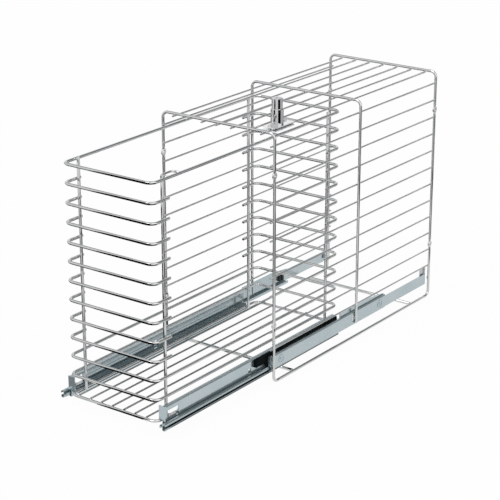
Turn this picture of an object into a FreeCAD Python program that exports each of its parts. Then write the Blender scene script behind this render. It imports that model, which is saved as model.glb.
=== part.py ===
import FreeCAD, Part
import math
import os

from FreeCAD import Vector as V

# A pull-out for a base cabinet: a fixed wire cage, two telescopic slides and a wire basket
# that runs out at the front, here stored half run out. Millimetres, X across, Y to the back,
# Z up. While it is laid out, y = 0 is the front hoop's plane and z = 0 the middle of the
# bottom rods; every piece is shifted at the end so that the origin is the middle of the base.

# Wire sizes and bends
frame_wire = 5.0
thin_wire = 3.0
cross_wire = 5.6
cage_bend = 10.0
basket_bend = 12.0
weld_gap = 0.05

# Fixed cage, between wire centrelines
cage_depth = 490.0
cage_half_width = 112.4
cage_height = 423.4
hoop_foot_straight = 6.0
middle_hoop_offset = 0.6
middle_leg_foot = 24.0
top_wire_count = 7
top_wire_margin = 23.9
side_wire_count = 12
side_wire_top_drop = 21.4
side_wire_low = 56.5
thin_wire_overhang = 3.0
cross_rod_front = 57.0
cross_rod_rear_inset = 60.0

# Screw eyes pressed into the legs
eye_disc_r = 6.0
eye_disc_t = 2.6
eye_hole_r = 2.3
eye_weld_overlap = 1.2
eye_upper_z = 354.3
eye_lower_z = 99.9

# Basket, between wire centrelines
basket_rail_gap = 5.5
basket_over_depth = 4.6
basket_top_drop = 17.0
basket_floor_z = 24.3
lowest_level_rise = 34.83
level_count = 12
full_ring_levels = (10, 11)
upright_inset = 30.0
upright_overrun = 9.0
upright_head = 4.5
floor_wire_count = 7
floor_wire_margin = 18.6
floor_wire_overhang = 1.0

# Travel: the stored pose is with the middle rails out to their stops
middle_rail_out = 271.4

# Slides, right-hand side; the left is its mirror image
sheet = 1.5
rail_sheet = 1.2
bend_inner_r = 0.9
slide_thickness = 10.85
drawer_top_z = 50.5
drawer_top_flange = 6.5
drawer_rail_front_inset = 7.4
drawer_rail_rear_inset = 24.2
track_low_z = 15.0
track_height = 12.0
track_lip = 4.0
track_depth = 6.5
track_gap = 1.0
tee_height = 4.6
middle_rail_overrun = 2.6
middle_rail_length = 474.0
cabinet_top_z = 45.0
cabinet_top_flange = 5.3
cabinet_front_y = -5.0
cabinet_rear_inset = 8.0
cabinet_track_set_back = 2.0
cabinet_track_end = 345.0
cabinet_cheek = 3.0
tail_overlap = 5.0
tail_foot_rise = 1.5
tail_head_drop = 2.5
guide_lip_start = 205.0
guide_lip_taper = 45.0
guide_lip_rise = 7.0
guide_lip_end_rise = 1.5
guide_lip_root = 1.0

# Features of the rails
mark_r = 7.2
mark_ring_width = 1.6
mark_dot_r = 2.4
mark_sink = 0.2
mark_rise = 0.6
mark_z = 33.0
mark_front_y = 25.0
mark_rear_inset = 18.0
leg_slot_width = 3.4
leg_slot_gap = 1.1
leg_slot_length = 15.0
leg_slot_drop = 4.0
bracket_length = 19.0
bracket_overrun = 5.0
bracket_top_z = 56.0
bracket_pad_length = 11.0
bracket_pad_top = 41.0
bead_rise = 0.8
bead_low_z = 33.0
bead_height = 4.0
bead_front_inset = 14.0
bead_rear_inset = 50.0
end_flange_width = 13.0
end_flange_gap = 0.8
window_front_inset = 4.0
window_length = 28.0
window_height = 15.0
window_sill = 0.6
oval_front_y = -52.0
oval_length = 8.0
oval_low_z = 29.0
oval_height = 8.5
buffer_t = 3.4
buffer_length = 15.0
buffer_height = 10.0
buffer_corner = 1.5
buffer_groove_width = 2.0
buffer_groove_depth = 1.2

# Black guide strip and steel seat angle on the drawer rail
guide_strip_front_y = -37.0
guide_strip_nose = 25.0
guide_strip_ramp = 6.0
guide_strip_nose_z = 36.0
guide_strip_low_z = 30.0
guide_strip_headroom = 0.9
guide_strip_side_gap = 0.5
guide_strip_rear_inset = 1.0
seat_strip_t = 2.0
seat_strip_side_gap = 0.1
seat_strip_front_inset = 8.0
seat_strip_rear_inset = 2.0
seat_strip_top_rise = 1.6

# Clamp for the cabinet's front, behind the drawer rail's window
adjuster_inset = 5.0
adjuster_length = 24.0
adjuster_height = 3.5
adjuster_head_r = 2.2
adjuster_head_height = 3.5
adjuster_head_y = 8.0
adjuster_head_x = 2.2
adjuster_wall_gap = 0.5
adjuster_web_gap = 0.2
adjuster_slot = 0.8
adjuster_slot_depth = 1.0

# Balls and the strips that space them
ball_d = 2.4
ball_clearance = 0.05
ball_pitch = 20.0
ball_end_margin = 4.0
outer_strip_start = 10.0
outer_strip_length = 176.0
inner_strip_start = -166.0
inner_strip_length = 256.0
strip_thickness = 1.5
strip_width = 3.4
strip_web = 0.45

# Lock on the cage's top, above the eye on the basket's rail
lock_rail_inset = 9.0
lock_y = 54.0
lock_travel = 12.0
plate_width = 26.0
plate_length = 54.0
plate_offset = 3.0
plate_t = 1.5
plate_corner = 3.0
plate_screw_inset = 6.5
plate_screw_r = 1.5
plate_screw_hole_r = 1.6
screw_head_r = 3.0
screw_head_height = 1.8
screw_head_round = 0.8
screw_slot_length = 3.2
screw_slot_width = 0.7
screw_slot_depth = 0.8
small_nut_flats = 5.5
small_nut_height = 2.4
screw_past_nut = 0.8
bush_r = 3.0
sleeve_r = 10.5
sleeve_height = 25.0
sleeve_floor = 3.5
sleeve_chamfer = 0.8
neck_r = 7.0
neck_plate_gap = 0.1
neck_nut_gap = 0.05
neck_past_nut = 0.2
nut_flats = 18.0
nut_height = 3.6
barrel_r = 9.0
barrel_height = 42.0
barrel_wall = 2.0
barrel_roof = 4.0
barrel_chamfer = 0.7
barrel_stop_gap = 0.6
bolt_r = 4.0
bolt_chamfer = 0.9
bolt_over_rail = 3.6
core_r = 4.5
core_height = 8.5
core_proud = 0.4
core_seat_gap = 0.1
key_slot_length = 6.0
key_slot_width = 1.2
key_slot_depth = 5.0
running_gap = 0.2
spring_side_gap = 0.3
spring_bolt_gap = 0.6
spring_end_gap = 0.1

# Eye that the bolt drops through
lock_eye_wire = 3.5
lock_eye_length = 32.0
lock_eye_reach = 16.0
lock_eye_bend = 6.0

# Values that follow from the sizes above
wire_r = frame_wire / 2.0
thin_r = thin_wire / 2.0
cross_rod_z = cross_wire / 2.0 - wire_r
hoop_foot = cage_bend + hoop_foot_straight
middle_hoop_y = cage_depth / 2.0 + middle_hoop_offset
thin_wire_start = -wire_r - thin_wire_overhang
thin_wire_end = cage_depth + wire_r
side_wire_x = cage_half_width - wire_r - thin_r - weld_gap
side_wire_top = cage_height - side_wire_top_drop
side_wire_pitch = (side_wire_top - side_wire_low) / (side_wire_count - 1)
top_wire_z = cage_height - wire_r - thin_r - weld_gap
top_wire_pitch = 2.0 * (cage_half_width - top_wire_margin) / (top_wire_count - 1)
cabinet_web_x = cage_half_width - wire_r - weld_gap
cabinet_rear_y = cage_depth - cabinet_rear_inset
drawer_web_x = cabinet_web_x - slide_thickness
drawer_wall_x = drawer_web_x - track_depth
basket_half_width = drawer_wall_x - basket_rail_gap
basket_depth = cage_depth + basket_over_depth
basket_front_y = -middle_rail_out
basket_rear_y = basket_front_y + basket_depth
basket_top_z = cage_height - basket_top_drop
level_pitch = (basket_top_z - basket_floor_z - lowest_level_rise) / (level_count - 1)
upright_x = basket_half_width - frame_wire - weld_gap
floor_wire_z = basket_floor_z + wire_r + thin_r + weld_gap
floor_wire_pitch = 2.0 * (basket_half_width - floor_wire_margin) / (floor_wire_count - 1)
drawer_rail_front_y = basket_front_y + drawer_rail_front_inset
drawer_rail_rear_y = basket_rear_y - drawer_rail_rear_inset
middle_rail_front_y = basket_front_y - middle_rail_overrun
lock_x = basket_half_width - lock_rail_inset
track_top_z = track_low_z + track_height
track_mid_z = (track_low_z + track_top_z) / 2.0
track_middle_depth = rail_sheet + (track_depth - 2.0 * rail_sheet) / 2.0
middle_wall_x = drawer_web_x + track_gap
middle_outer_x = middle_wall_x + track_depth
outer_tee_x = middle_wall_x + track_middle_depth
inner_tee_x = drawer_web_x - track_middle_depth
ball_rise = tee_height / 2.0 + ball_clearance + ball_d / 2.0
plate_low_z = top_wire_z + thin_r + weld_gap
plate_top_z = plate_low_z + plate_t
clamp_top_z = top_wire_z - thin_r - weld_gap
clamp_low_z = clamp_top_z - plate_t
neck_low_z = clamp_low_z - nut_height - neck_past_nut
sleeve_floor_z = plate_top_z + sleeve_floor
sleeve_top_z = plate_top_z + sleeve_height
barrel_top_z = plate_top_z + barrel_height
barrel_low_z = sleeve_floor_z + lock_travel + barrel_stop_gap
barrel_roof_z = barrel_top_z - core_height - barrel_roof
plate_screw_reach = plate_length / 2.0 - plate_screw_inset
plate_screw_ys = (lock_y - plate_screw_reach, lock_y + plate_screw_reach)
rear_reach = cage_depth + max(wire_r, eye_disc_r)
middle_of_base = V(0, (middle_rail_front_y + rear_reach) / 2.0, -wire_r)


def save(name, shapes):
    """Write one node: a solid, or a list of separate solids of the same kind."""
    shapes = shapes if isinstance(shapes, list) else [shapes]
    solids = [solid for shape in shapes for solid in shape.Solids]
    for solid in solids:
        solid.translate(-middle_of_base)
    node = solids[0] if len(solids) == 1 else Part.makeCompound(solids)
    node.exportStep("parts/" + name + ".step")


def joined(shapes):
    """Fuse touching shapes into one clean solid."""
    shape = shapes[0].fuse(shapes[1:]) if len(shapes) > 1 else shapes[0]
    return shape.removeSplitter()


def moved(shape, dx=0.0, dy=0.0, dz=0.0):
    copy = shape.copy()
    copy.translate(V(dx, dy, dz))
    return copy


def mirrored(shape):
    """The left-hand piece that matches a right-hand one."""
    return shape.mirror(V(0, 0, 0), V(1, 0, 0))


def box(x0, x1, y0, y1, z0, z1):
    return Part.makeBox(x1 - x0, y1 - y0, z1 - z0, V(x0, y0, z0))


def across(radius, x0, x1, y, z):
    """A round bar or drill along X."""
    return Part.makeCylinder(radius, x1 - x0, V(x0, y, z), V(1, 0, 0))


def upright(radius, x, y, z0, z1):
    """A round bar or drill along Z."""
    return Part.makeCylinder(radius, z1 - z0, V(x, y, z0))


def extruded(corners, along):
    """A flat outline given by its corners, thickened along a vector."""
    return Part.Face(Part.makePolygon(corners + corners[:1])).extrude(along)


def rod(start, end, diameter):
    """A straight wire between two points."""
    run = end - start
    return Part.makeCylinder(diameter / 2.0, run.Length, start, run)


def bent_wire(points, bend, diameter, closed=False):
    """A wire of straight runs and round bends through the given corners."""
    count = len(points)
    corners = range(count) if closed else range(1, count - 1)
    bends = {}
    for i in corners:
        before = (points[i] - points[i - 1]).normalize()
        after = (points[(i + 1) % count] - points[i]).normalize()
        turn = math.acos(max(-1.0, min(1.0, before.dot(after))))
        set_back = bend * math.tan(turn / 2.0)
        inward = (after - before * before.dot(after)).normalize()
        enter = points[i] - before * set_back
        bends[i] = (enter, points[i] + after * set_back, before, enter + inward * bend,
                    before.cross(after), math.degrees(turn))
    pieces = []
    for enter, leave, along, centre, axis, turn in bends.values():
        circle = Part.Face(Part.Wire(Part.makeCircle(diameter / 2.0, enter, along)))
        pieces.append(circle.revolve(centre, axis, turn))
    runs = count if closed else count - 1
    for i in range(runs):
        start = bends[i][1] if i in bends else points[i]
        end = bends[(i + 1) % count][0] if (i + 1) % count in bends else points[(i + 1) % count]
        if (end - start).Length > weld_gap:
            pieces.append(rod(start, end, diameter))
    return joined(pieces)


def sheet_path(points, radius):
    """The outline of a bent sheet in the XZ plane, with round bends."""
    corners = [V(x, 0, z) for x, z in points]
    edges = []
    here = corners[0]
    for i in range(1, len(corners) - 1):
        before = (corners[i] - corners[i - 1]).normalize()
        after = (corners[i + 1] - corners[i]).normalize()
        enter = corners[i] - before * radius
        leave = corners[i] + after * radius
        middle = corners[i] + (after - before).normalize() * (radius * (math.sqrt(2.0) - 1.0))
        edges.append(Part.LineSegment(here, enter).toShape())
        edges.append(Part.Arc(enter, middle, leave).toShape())
        here = leave
    edges.append(Part.LineSegment(here, corners[-1]).toShape())
    return Part.Wire(edges)


def bent_sheet(points, thickness, y0, y1, side=1.0):
    """A sheet bent along Y; the points run along its outer face."""
    face = sheet_path(points, thickness + bend_inner_r).makeOffset2D(
        side * thickness, join=0, fill=True, openResult=True)
    return moved(face.extrude(V(0, y1 - y0, 0)), dy=y0)


def hexagon(across_flats, x, y, z0, z1):
    radius = across_flats / 2.0 / math.cos(math.pi / 6.0)
    turns = [math.radians(60.0 * i) for i in range(6)]
    corners = [V(x + radius * math.cos(a), y + radius * math.sin(a), z0) for a in turns]
    return extruded(corners, V(0, 0, z1 - z0))


# Fixed wire cage

def through_leg(radius, y, z):
    """A drill through the right leg, square to the cabinet's side."""
    return across(radius, cage_half_width - frame_wire, cage_half_width + frame_wire, y, z)


def screw_eye(y, z):
    """A flattened disc of the leg's wire, with the hole for a screw into the cabinet side."""
    x = cage_half_width - eye_disc_t / 2.0
    return across(eye_disc_r, x, x + eye_disc_t, y, z)


def hoop_with_feet(y, inward):
    """A hoop at the front or rear: top bar, two legs, and the bends into the bottom rods."""
    x = cage_half_width
    foot_y = y + inward * hoop_foot
    wire = bent_wire([V(-x, foot_y, 0), V(-x, y, 0), V(-x, y, cage_height),
                      V(x, y, cage_height), V(x, y, 0), V(x, foot_y, 0)], cage_bend, frame_wire)
    heights = (eye_upper_z, eye_lower_z)
    gaps = [through_leg(eye_disc_r - eye_weld_overlap, y, z) for z in heights]
    discs = [screw_eye(y, z) for z in heights]
    holes = [through_leg(eye_hole_r, y, z) for z in heights]
    wire = wire.cut(gaps + [mirrored(gap) for gap in gaps])
    hoop = joined([wire] + discs + [mirrored(disc) for disc in discs])
    return hoop.cut(holes + [mirrored(hole) for hole in holes])


def middle_hoop():
    x = cage_half_width
    y = middle_hoop_y
    return bent_wire([V(-x, y, middle_leg_foot), V(-x, y, cage_height),
                      V(x, y, cage_height), V(x, y, middle_leg_foot)], cage_bend, frame_wire)


def bottom_rods():
    x = cage_half_width
    right = rod(V(x, hoop_foot, 0), V(x, cage_depth - hoop_foot, 0), frame_wire)
    return [right, mirrored(right)]


def cross_rods():
    """Two rods butt-welded between the bottom rods, their undersides level with them."""
    x = cage_half_width - wire_r - weld_gap
    places = (cross_rod_front, cage_depth - cross_rod_rear_inset)
    return [rod(V(-x, y, cross_rod_z), V(x, y, cross_rod_z), cross_wire) for y in places]


def top_wires():
    first = -(top_wire_count - 1) / 2.0 * top_wire_pitch
    xs = [first + i * top_wire_pitch for i in range(top_wire_count)]
    return [rod(V(x, thin_wire_start, top_wire_z), V(x, thin_wire_end, top_wire_z), thin_wire)
            for x in xs]


def side_wires():
    x = side_wire_x
    zs = [side_wire_top - i * side_wire_pitch for i in range(side_wire_count)]
    return [rod(V(x, thin_wire_start, z), V(x, thin_wire_end, z), thin_wire) for z in zs]


# Slides, right-hand side

def tee(x, y0, y1):
    """The upright bar of a tee, which the balls run over and under."""
    half = tee_height / 2.0
    return box(x - rail_sheet / 2.0, x + rail_sheet / 2.0, y0, y1, track_mid_z - half, track_mid_z + half)


def cabinet_rail():
    """Fixed member: a web welded to the cage's legs, a top flange, and the tee the balls run on."""
    x = cabinet_web_x
    y0 = cabinet_front_y + cabinet_track_set_back
    tab_low = track_top_z + track_gap
    low = track_mid_z - sheet / 2.0
    flange_x = x - cabinet_top_flange
    track = bent_sheet([(outer_tee_x, low), (x, low), (x, cabinet_top_z), (flange_x, cabinet_top_z)],
                       sheet, y0, cabinet_track_end)
    tail = box(x - sheet, x, cabinet_track_end - tail_overlap, cabinet_rear_y,
               track_mid_z + tail_foot_rise, cabinet_top_z - tail_head_drop)
    tab = box(flange_x, x, cabinet_front_y, cabinet_front_y + sheet, tab_low, cabinet_top_z)
    cheek = box(x - sheet, x, cabinet_front_y, cabinet_front_y + cabinet_cheek, tab_low, cabinet_top_z)
    marks = [ring_mark(mark_front_y), ring_mark(cabinet_track_end - mark_rear_inset)]
    slot_y = middle_hoop_y - wire_r - leg_slot_gap
    slot_top = cabinet_top_z - leg_slot_drop
    slot = box(x - 2.0 * sheet, x + sheet, slot_y - leg_slot_width, slot_y,
               slot_top - leg_slot_length, slot_top)
    pieces = [track, tee(outer_tee_x, y0, cabinet_track_end), tail, tab, cheek, guide_lip(flange_x)]
    return joined(pieces + marks).cut(slot)


def guide_lip(x):
    """The raised edge of the top flange at the back, which steers the guide strip home."""
    root = cabinet_top_z - guide_lip_root
    top = cabinet_top_z + guide_lip_rise
    corners = [V(x, guide_lip_start, root), V(x, cabinet_track_end, root),
               V(x, cabinet_track_end, cabinet_top_z + guide_lip_end_rise),
               V(x, cabinet_track_end - guide_lip_taper, top), V(x, guide_lip_start, top)]
    return extruded(corners, V(rail_sheet, 0, 0))


def ring_mark(y):
    """A plain ring and dot pressed out of the cabinet rail's web."""
    x0 = cabinet_web_x - mark_sink
    x1 = cabinet_web_x + mark_rise
    ring = across(mark_r, x0, x1, y, mark_z).cut(across(mark_r - mark_ring_width, x0, x1, y, mark_z))
    return ring.fuse(across(mark_dot_r, x0, x1, y, mark_z))


def rear_bracket():
    """The tab that ties the cabinet rail's tail to the rear leg."""
    outer = side_wire_x - thin_r - weld_gap
    inner = outer - sheet
    rear = cabinet_rear_y + bracket_overrun
    low = track_top_z + 2.0 * track_gap
    web = cabinet_web_x - sheet
    plate = box(inner, outer, rear - bracket_length, rear, low, bracket_top_z)
    pad_y = rear - bracket_length + 2.0 * sheet
    pad = box(outer - sheet / 2.0, web, pad_y, pad_y + bracket_pad_length, low, bracket_pad_top)
    return joined([plate, pad])


def middle_rail():
    """Moving member: a channel that opens outward, and a flange with a tee inward."""
    y0 = middle_rail_front_y
    y1 = y0 + middle_rail_length
    wall = middle_wall_x
    outer = middle_outer_x
    channel = bent_sheet([(outer, track_low_z + track_lip), (outer, track_low_z), (wall, track_low_z),
                          (wall, track_top_z), (outer, track_top_z), (outer, track_top_z - track_lip)],
                         rail_sheet, y0, y1, -1.0)
    flange = box(inner_tee_x, wall + rail_sheet / 2.0, y0, y1,
                 track_mid_z - sheet / 2.0, track_mid_z + sheet / 2.0)
    return joined([channel, flange, tee(inner_tee_x, y0, y1)])


def drawer_rail():
    """Moving member under the basket: a web with a top flange and a channel that opens outward."""
    y0 = drawer_rail_front_y
    y1 = drawer_rail_rear_y
    x = drawer_web_x
    inner = x - sheet
    web = bent_sheet([(x, track_top_z - track_lip), (x, drawer_top_z), (x - drawer_top_flange, drawer_top_z)],
                     sheet, y0, y1)
    channel = bent_sheet([(x - sheet / 2.0, track_top_z), (drawer_wall_x, track_top_z),
                          (drawer_wall_x, track_low_z), (x, track_low_z), (x, track_low_z + track_lip)],
                         rail_sheet, y0, y1)
    bead = box(inner - bead_rise, inner + bead_rise / 2.0, y0 + bead_front_inset, y1 - bead_rear_inset,
               bead_low_z, bead_low_z + bead_height)
    end = box(x - end_flange_width, x, y0, y0 + sheet, track_top_z + end_flange_gap, drawer_top_z)
    window_y = y0 + window_front_inset
    window_low = track_top_z + window_sill
    window = box(inner - sheet, x + sheet, window_y, window_y + window_length,
                 window_low, window_low + window_height)
    oval = box(inner - sheet, x + sheet, oval_front_y, oval_front_y + oval_length,
               oval_low_z, oval_low_z + oval_height)
    return joined([web, channel, bead, end]).cut([window, oval])


def guide_strip():
    """Black strip on the drawer rail's web that keeps the basket off the cabinet rail."""
    x0 = drawer_web_x + weld_gap
    x1 = cabinet_web_x - cabinet_top_flange - guide_strip_side_gap
    front = guide_strip_front_y
    rear = drawer_rail_rear_y - guide_strip_rear_inset
    top = drawer_top_z - guide_strip_headroom
    nose = front + guide_strip_nose
    low_start = nose + guide_strip_ramp
    corners = [V(x0, front, guide_strip_nose_z), V(x0, nose, guide_strip_nose_z),
               V(x0, low_start, guide_strip_low_z), V(x0, rear, guide_strip_low_z),
               V(x0, rear, top), V(x0, front, top)]
    return extruded(corners, V(x1 - x0, 0, 0))


def seat_strip():
    """Steel angle on the drawer rail that the basket's bottom wire rests on."""
    inner = basket_half_width - wire_r + 2.0 * seat_strip_side_gap
    wall = basket_half_width + wire_r + seat_strip_side_gap
    outer = drawer_wall_x - seat_strip_side_gap
    top = basket_floor_z - wire_r - seat_strip_side_gap
    low = top - seat_strip_t
    y0 = drawer_rail_front_y + seat_strip_front_inset
    y1 = drawer_rail_rear_y - seat_strip_rear_inset
    shelf = box(inner, outer, y0, y1, low, top)
    side = box(wall, outer, y0, y1, low, track_top_z + seat_strip_top_rise)
    return joined([shelf, side])


def rail_buffer():
    """Grooved rubber pad inside the cabinet rail, held at its rear ring, that steadies the guide strip."""
    x = cabinet_web_x - sheet
    face = x - buffer_t
    y0 = cabinet_track_end - mark_rear_inset - buffer_length / 2.0
    z0 = mark_z - buffer_height / 2.0
    pad = box(face, x, y0, y0 + buffer_length, z0, z0 + buffer_height)
    corners = [edge for edge in pad.Edges if edge.BoundBox.XLength > buffer_t / 2.0]
    groove_y = y0 + (buffer_length - buffer_groove_width) / 2.0
    groove = box(face, face + buffer_groove_depth, groove_y, groove_y + buffer_groove_width,
                 z0, z0 + buffer_height)
    return pad.makeFillet(buffer_corner, corners).cut(groove)


def front_adjuster():
    """The clamp screw that holds the cabinet's front, seen through the rail's window."""
    y0 = drawer_rail_front_y + adjuster_inset
    x0 = drawer_wall_x + adjuster_wall_gap
    block_top = track_top_z + adjuster_height
    head_top = block_top + adjuster_head_height
    head_x = x0 + adjuster_head_x
    head_y = y0 + adjuster_head_y
    block = box(x0, drawer_web_x - sheet - adjuster_web_gap, y0, y0 + adjuster_length, track_top_z, block_top)
    head = upright(adjuster_head_r, head_x, head_y, track_top_z, head_top)
    half_slot = adjuster_slot / 2.0
    slot = box(head_x - adjuster_head_r, head_x + adjuster_head_r, head_y - half_slot, head_y + half_slot,
               head_top - adjuster_slot_depth, head_top)
    return joined([block, head]).cut(slot)


def ball_places(start, length):
    """How far along a strip each ball lies, evenly spaced about its middle."""
    count = int((length - 2.0 * ball_end_margin) // ball_pitch) + 1
    first = start + (length - (count - 1) * ball_pitch) / 2.0
    return [first + i * ball_pitch for i in range(count)]


def balls(x, start, length):
    """Two rows of balls, over and under a tee."""
    return [Part.makeSphere(ball_d / 2.0, V(x, y, track_mid_z + side * ball_rise))
            for side in (-1.0, 1.0) for y in ball_places(start, length)]


def ball_retainer(x, start, length):
    """The black strip that keeps the balls apart: two pocketed bars and the web between them."""
    half = strip_width / 2.0
    pocket_r = ball_d / 2.0 + ball_clearance
    bars = []
    for side in (-1.0, 1.0):
        low = track_mid_z + side * ball_rise - strip_thickness / 2.0
        high = low + strip_thickness
        pockets = [upright(pocket_r, x, y, low, high) for y in ball_places(start, length)]
        bars.append(box(x - half, x + half, start, start + length, low, high).cut(pockets))
    web = box(x - half, x - half + strip_web, start, start + length,
              track_mid_z - ball_rise, track_mid_z + ball_rise)
    return joined(bars + [web])


# Basket

def basket_ring(z):
    x = basket_half_width
    corners = [V(-x, basket_front_y, z), V(x, basket_front_y, z),
               V(x, basket_rear_y, z), V(-x, basket_rear_y, z)]
    return bent_wire(corners, basket_bend, frame_wire, closed=True)


def end_wires(end_y, inward):
    """The short wires that close one end of the basket and stop just past its uprights."""
    x = basket_half_width
    tip = end_y + inward * (upright_inset + upright_overrun)
    levels = [i for i in range(1, level_count) if i not in full_ring_levels]
    wire = bent_wire([V(-x, tip, 0), V(-x, end_y, 0), V(x, end_y, 0), V(x, tip, 0)], basket_bend, frame_wire)
    return [moved(wire, dz=basket_top_z - i * level_pitch) for i in levels]


def uprights():
    low = basket_floor_z - wire_r
    high = basket_top_z + upright_head
    ys = (basket_front_y + upright_inset, basket_rear_y - upright_inset)
    return [upright(wire_r, x, y, low, high) for x in (-upright_x, upright_x) for y in ys]


def floor_wires():
    first = -(floor_wire_count - 1) / 2.0 * floor_wire_pitch
    xs = [first + i * floor_wire_pitch for i in range(floor_wire_count)]
    y0 = basket_front_y - floor_wire_overhang
    y1 = basket_rear_y + floor_wire_overhang
    return [rod(V(x, y0, floor_wire_z), V(x, y1, floor_wire_z), thin_wire) for x in xs]


def lock_eye():
    """The wire eye inside the basket's right top rail that the bolt drops through."""
    outer = basket_half_width - wire_r - weld_gap
    inner = outer - lock_eye_reach + lock_eye_wire / 2.0
    y = lock_y - middle_rail_out
    half = lock_eye_length / 2.0 - lock_eye_wire / 2.0
    z = basket_top_z
    corners = [V(outer, y - half, z), V(inner, y - half, z),
               V(inner, y + half, z), V(outer, y + half, z)]
    return bent_wire(corners, lock_eye_bend, lock_eye_wire)


# Lock

def lock_cylinder(radius, z0, z1):
    return upright(radius, lock_x, lock_y, z0, z1)


def edges_at(shape, z):
    """The edges of a shape that lie in one level plane."""
    return [edge for edge in shape.Edges
            if abs(edge.BoundBox.ZMin - z) < weld_gap and abs(edge.BoundBox.ZMax - z) < weld_gap]


def lock_plate(z):
    x0 = lock_x - plate_width / 2.0 + plate_offset
    y0 = lock_y - plate_length / 2.0
    plate = box(x0, x0 + plate_width, y0, y0 + plate_length, z, z + plate_t)
    corners = [e for e in plate.Edges if e.BoundBox.ZLength > plate_t / 2.0]
    holes = [upright(plate_screw_hole_r, lock_x, y, z, z + plate_t) for y in plate_screw_ys]
    holes.append(lock_cylinder(neck_r + neck_plate_gap, z, z + plate_t))
    return plate.makeFillet(plate_corner, corners).cut(holes)


def plate_screws():
    """Pan-head screws down through both plates, each with its nut."""
    head_top = plate_top_z + screw_head_height
    half_length = screw_slot_length / 2.0
    half_width = screw_slot_width / 2.0
    nut_low = clamp_low_z - small_nut_height
    screws = []
    for y in plate_screw_ys:
        head = upright(screw_head_r, lock_x, y, plate_top_z, head_top)
        head = head.makeFillet(screw_head_round, edges_at(head, head_top))
        slot = box(lock_x - half_length, lock_x + half_length, y - half_width, y + half_width,
                   head_top - screw_slot_depth, head_top)
        shank = upright(plate_screw_r, lock_x, y, nut_low - screw_past_nut, plate_top_z)
        nut = hexagon(small_nut_flats, lock_x, y, nut_low, clamp_low_z)
        screws.append(joined([head.cut(slot), shank, nut]))
    return screws


def lock_bushes():
    """Bushes on the screws that keep the two plates a wire apart."""
    return [upright(bush_r, lock_x, y, clamp_top_z, plate_low_z).cut(
        upright(plate_screw_hole_r, lock_x, y, clamp_top_z, plate_low_z)) for y in plate_screw_ys]


def lock_sleeve():
    """Fixed housing: a sleeve with a threaded neck that passes through both plates."""
    body = lock_cylinder(sleeve_r, plate_top_z, sleeve_top_z)
    body = body.makeChamfer(sleeve_chamfer, edges_at(body, sleeve_top_z))
    neck = lock_cylinder(neck_r, neck_low_z, plate_top_z)
    bore = lock_cylinder(barrel_r + running_gap, sleeve_floor_z, sleeve_top_z)
    hole = lock_cylinder(bolt_r + running_gap, neck_low_z, sleeve_floor_z)
    return joined([body, neck]).cut([bore, hole])


def lock_nut():
    z0 = clamp_low_z - nut_height
    thread = lock_cylinder(neck_r + neck_nut_gap, z0, clamp_low_z)
    return hexagon(nut_flats, lock_x, lock_y, z0, clamp_low_z).cut(thread)


def lock_barrel():
    """The push-in barrel, hollow below for its spring, with the seat for the key core on top."""
    body = lock_cylinder(barrel_r, barrel_low_z, barrel_top_z)
    body = body.makeChamfer(barrel_chamfer, edges_at(body, barrel_top_z))
    spring_room = lock_cylinder(barrel_r - barrel_wall, barrel_low_z, barrel_roof_z)
    core_seat = lock_cylinder(core_r + running_gap, barrel_top_z - core_height, barrel_top_z)
    return body.cut([spring_room, core_seat])


def lock_bolt():
    """The pin fixed under the barrel's roof, its tip just over the basket's rail while it is up."""
    low = basket_top_z + wire_r + bolt_over_rail
    bolt = lock_cylinder(bolt_r, low, barrel_roof_z)
    return bolt.makeChamfer(bolt_chamfer, edges_at(bolt, low))


def lock_core():
    """The round core that the key turns, with its slot."""
    z0 = barrel_top_z - core_height + core_seat_gap
    z1 = barrel_top_z + core_proud
    core = lock_cylinder(core_r, z0, z1)
    half_width = key_slot_width / 2.0
    half_length = key_slot_length / 2.0
    return core.cut(box(lock_x - half_width, lock_x + half_width, lock_y - half_length, lock_y + half_length,
                        z1 - key_slot_depth, z1))


def lock_spring():
    """The coil under the barrel, as the tube that it fills."""
    z0 = sleeve_floor_z + spring_end_gap
    z1 = barrel_roof_z - spring_end_gap
    outside = lock_cylinder(barrel_r - barrel_wall - spring_side_gap, z0, z1)
    return outside.cut(lock_cylinder(bolt_r + spring_bolt_gap, z0, z1))


os.makedirs("parts", exist_ok=True)

save("cage_front_hoop", hoop_with_feet(0.0, 1.0))
save("cage_rear_hoop", hoop_with_feet(cage_depth, -1.0))
save("cage_middle_hoop", middle_hoop())
save("cage_bottom_rods", bottom_rods())
save("cage_cross_rods", cross_rods())
save("cage_top_wires", top_wires())
save("cage_right_side_wires", side_wires())
save("cage_left_side_wires", [mirrored(wire) for wire in side_wires()])

slide_pieces = {
    "cabinet_rail": [cabinet_rail()],
    "rear_bracket": [rear_bracket()],
    "rail_buffer": [rail_buffer()],
    "middle_rail": [middle_rail()],
    "outer_ball_retainer": [ball_retainer(outer_tee_x, outer_strip_start, outer_strip_length)],
    "outer_balls": balls(outer_tee_x, outer_strip_start, outer_strip_length),
    "inner_ball_retainer": [ball_retainer(inner_tee_x, inner_strip_start, inner_strip_length)],
    "inner_balls": balls(inner_tee_x, inner_strip_start, inner_strip_length),
    "drawer_rail": [drawer_rail()],
    "guide_strip": [guide_strip()],
    "seat_strip": [seat_strip()],
    "front_adjuster": [front_adjuster()],
}
for piece, solids in slide_pieces.items():
    save("left_" + piece, [mirrored(solid) for solid in solids])
    save("right_" + piece, solids)

save("basket_top_ring", basket_ring(basket_top_z))
save("basket_lower_ring", basket_ring(basket_top_z - full_ring_levels[0] * level_pitch))
save("basket_carrying_ring", basket_ring(basket_top_z - full_ring_levels[1] * level_pitch))
save("basket_bottom_frame", basket_ring(basket_floor_z))
save("basket_front_wires", end_wires(basket_front_y, 1.0))
save("basket_rear_wires", end_wires(basket_rear_y, -1.0))
save("basket_uprights", uprights())
save("basket_floor_wires", floor_wires())
save("basket_lock_eye", lock_eye())

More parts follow.
